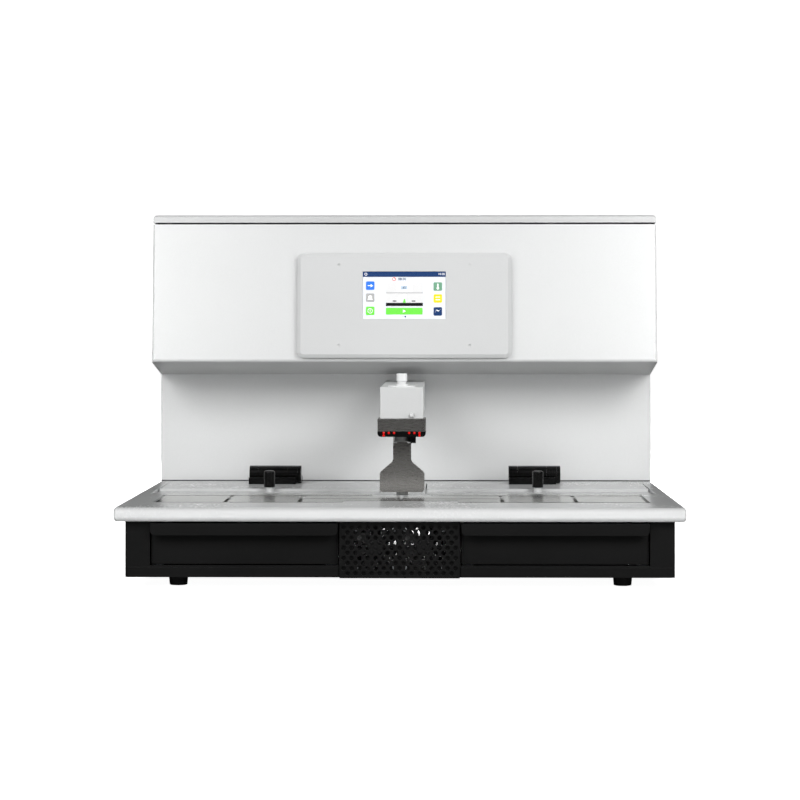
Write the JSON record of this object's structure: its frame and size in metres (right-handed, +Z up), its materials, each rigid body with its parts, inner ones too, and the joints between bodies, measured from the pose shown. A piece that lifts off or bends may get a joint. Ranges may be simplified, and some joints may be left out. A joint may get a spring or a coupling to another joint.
{
  "type": "tissue embedding station",
  "caption": "Bench station for embedding tissue in paraffin: white worktop with warm and cooled plates, lidded wells, dispenser arm, wax drawers and a leaning control cabinet.",
  "frame": {"origin": "on the bench, under the middle of the whole box", "axes": "+X to the operator's right, +Y to the rear of the instrument, +Z up"},
  "size_m": [0.6, 0.64, 0.4112],
  "materials": {
    "white_enamel": "semi-gloss",
    "worktop_white": "semi-gloss",
    "lid_grey": "satin",
    "black_base": "satin",
    "black_plastic": "gloss",
    "charcoal_alloy": "anodised",
    "stainless": "brushed",
    "drawn_steel": "satin",
    "plate_alloy": "bead blasted",
    "raw_alloy": "extruded",
    "steel_pin": "ground",
    "brass": "machined",
    "white_plastic": "moulded",
    "rubber": "moulded",
    "heater_mat": "silicone",
    "ceramic_white": "matte",
    "screen": "gloss",
    "red_lamp": "clear",
    "circuit_board": "coated",
    "fan_black": "moulded"
  },
  "bodies": {
    "station": {"feet": "rubber", "base_tray": "black_base", "drawer_runners": "drawn_steel", "front_grille": "black_base", "fan_housings": "fan_black", "heat_sink": "raw_alloy", "cooling_modules": "ceramic_white", "worktop": "worktop_white", "cooling_plates": "plate_alloy", "warm_plates": "plate_alloy", "plate_heaters": "raw_alloy", "drip_rails": "stainless", "left_well": "stainless", "right_well": "stainless", "well_heaters": "heater_mat", "hinge_brackets": "black_plastic", "hinge_pins": "steel_pin", "cabinet_shell": "white_enamel", "back_panel": "white_enamel", "tank_shelf": "stainless", "paraffin_tank": "stainless", "tank_heater": "heater_mat", "outlet_valve": "brass", "delivery_pipe": "drawn_steel", "top_rear_cover": "lid_grey", "lid_hinge_rear_leaves": "steel_pin", "lid_hinge_pins": "steel_pin", "lid_bumpers": "rubber", "panel_frame": "white_plastic", "display": "screen", "arm_housing": "white_enamel", "knob_flange": "white_plastic", "lamp_bracket": "charcoal_alloy", "lamp_housing": "black_plastic", "lamp_leds": "red_lamp", "nozzle": "drawn_steel", "paddle_pin": "steel_pin", "paddle_switch": "black_plastic", "paddle_stop": "white_plastic", "control_board": "circuit_board", "power_supply": "drawn_steel", "power_entry": "black_plastic"},
    "top_lid": {"top_lid": "lid_grey", "lid_hinge_front_leaves": "steel_pin"},
    "left_well_lid": {"left_well_lid": "worktop_white", "left_lid_knob": "black_plastic", "left_hinge_knuckle": "black_plastic"},
    "right_well_lid": {"right_well_lid": "worktop_white", "right_lid_knob": "black_plastic", "right_hinge_knuckle": "black_plastic"},
    "left_drawer": {"left_drawer": "black_base"},
    "right_drawer": {"right_drawer": "black_base"},
    "paddle": {"paddle": "charcoal_alloy"},
    "flow_knob": {"flow_knob": "white_plastic"},
    "lamp_button": {"lamp_button": "white_plastic"},
    "left_fan": {"left_fan_rotor": "fan_black"},
    "right_fan": {"right_fan_rotor": "fan_black"},
    "power_rocker": {"power_rocker": "black_plastic"}
  },
  "joints": [
    {"name": "top_lid_hinge", "type": "hinge", "parent": "station", "child": "top_lid", "pos_m": [0, 0.271, 0.4086], "axis": [-1, 0, 0], "range_deg": [0, 85]},
    {"name": "left_well_lid_hinge", "type": "hinge", "parent": "station", "child": "left_well_lid", "pos_m": [-0.156, 0.046, 0.097], "axis": [-1, 0, 0], "range_deg": [0, 70]},
    {"name": "right_well_lid_hinge", "type": "hinge", "parent": "station", "child": "right_well_lid", "pos_m": [0.156, 0.046, 0.097], "axis": [-1, 0, 0], "range_deg": [0, 70]},
    {"name": "left_drawer_slide", "type": "slide", "parent": "station", "child": "left_drawer", "axis": [0, -1, 0], "range_m": [0, 0.14]},
    {"name": "right_drawer_slide", "type": "slide", "parent": "station", "child": "right_drawer", "axis": [0, -1, 0], "range_m": [0, 0.14]},
    {"name": "paddle_swing", "type": "hinge", "parent": "station", "child": "paddle", "pos_m": [0, -0.1486, 0.149], "axis": [1, 0, 0], "range_deg": [0, 8], "stiffness_Nm_per_rad": 0.05},
    {"name": "flow_knob_turn", "type": "hinge", "parent": "station", "child": "flow_knob", "pos_m": [0, -0.165, 0.218], "axis": [0, 0, 1], "range_deg": [0, 270]},
    {"name": "lamp_button_press", "type": "slide", "parent": "station", "child": "lamp_button", "axis": [0, 1, 0], "range_m": [0, 0.0015], "stiffness_N_per_m": 800},
    {"name": "left_fan_spin", "type": "hinge", "parent": "station", "child": "left_fan", "pos_m": [-0.0257, -0.2993, 0.0423], "axis": [0, 1, 0], "continuous": true},
    {"name": "right_fan_spin", "type": "hinge", "parent": "station", "child": "right_fan", "pos_m": [0.0257, -0.2993, 0.0423], "axis": [0, 1, 0], "continuous": true},
    {"name": "power_rocker_tip", "type": "hinge", "parent": "station", "child": "power_rocker", "pos_m": [0.22, 0.312, 0.154], "axis": [-1, 0, 0], "range_deg": [0, 18]}
  ]
}
